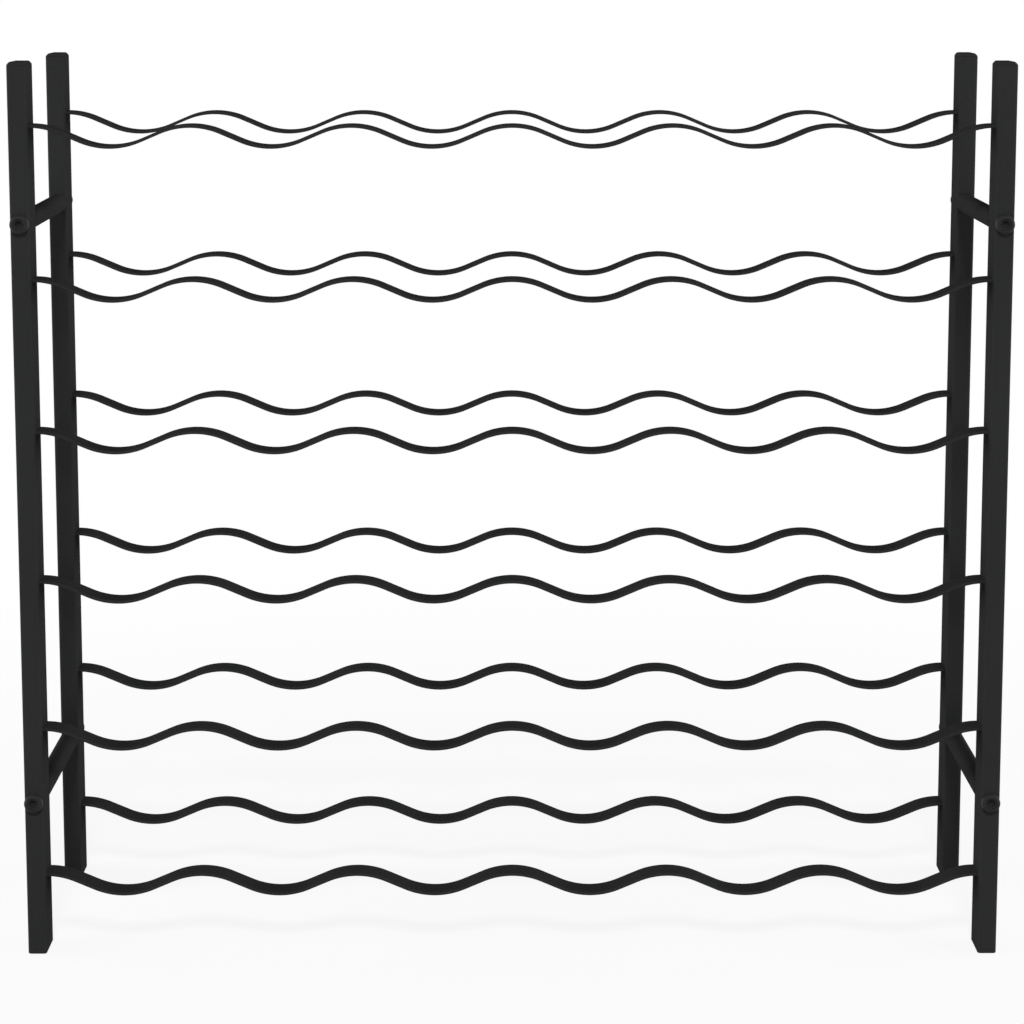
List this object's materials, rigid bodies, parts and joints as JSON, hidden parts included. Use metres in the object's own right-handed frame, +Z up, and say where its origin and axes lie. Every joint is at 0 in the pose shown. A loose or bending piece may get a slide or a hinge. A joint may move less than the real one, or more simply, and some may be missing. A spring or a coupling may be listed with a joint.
{
  "type": "wine rack",
  "caption": "Free-standing black metal wine rack: welded frames of upright tubes and wave-bent strip rails, tied front to back by bolted braces, holding bottles on their sides.",
  "frame": {"origin": "on the floor under the middle of the rack", "axes": "+X to the right as seen from the front, -Y to the front, +Z up along the posts"},
  "size_m": [0.6504, 0.208, 0.595],
  "materials": {
    "frame_paint": "matt black powder coat",
    "end_plugs": "fine-grained black plastic",
    "bolts": "black-coated steel",
    "threaded_blocks": "bare zinc-plated steel"
  },
  "bodies": {
    "root": {"back_left_foot": "end_plugs", "back_left_lower_bolt": "bolts", "back_left_lower_threaded_block": "threaded_blocks", "back_left_post": "frame_paint", "back_left_top_cap": "end_plugs", "back_left_upper_bolt": "bolts", "back_left_upper_threaded_block": "threaded_blocks", "back_rail_1": "frame_paint", "back_rail_2": "frame_paint", "back_rail_3": "frame_paint", "back_rail_4": "frame_paint", "back_rail_5": "frame_paint", "back_rail_6": "frame_paint", "back_right_foot": "end_plugs", "back_right_lower_bolt": "bolts", "back_right_lower_threaded_block": "threaded_blocks", "back_right_post": "frame_paint", "back_right_top_cap": "end_plugs", "back_right_upper_bolt": "bolts", "back_right_upper_threaded_block": "threaded_blocks", "front_left_foot": "end_plugs", "front_left_lower_bolt": "bolts", "front_left_lower_threaded_block": "threaded_blocks", "front_left_post": "frame_paint", "front_left_top_cap": "end_plugs", "front_left_upper_bolt": "bolts", "front_left_upper_threaded_block": "threaded_blocks", "front_rail_1": "frame_paint", "front_rail_2": "frame_paint", "front_rail_3": "frame_paint", "front_rail_4": "frame_paint", "front_rail_5": "frame_paint", "front_rail_6": "frame_paint", "front_right_foot": "end_plugs", "front_right_lower_bolt": "bolts", "front_right_lower_threaded_block": "threaded_blocks", "front_right_post": "frame_paint", "front_right_top_cap": "end_plugs", "front_right_upper_bolt": "bolts", "front_right_upper_threaded_block": "threaded_blocks", "left_lower_brace": "frame_paint", "left_upper_brace": "frame_paint", "right_lower_brace": "frame_paint", "right_upper_brace": "frame_paint"}
  },
  "joints": []
}
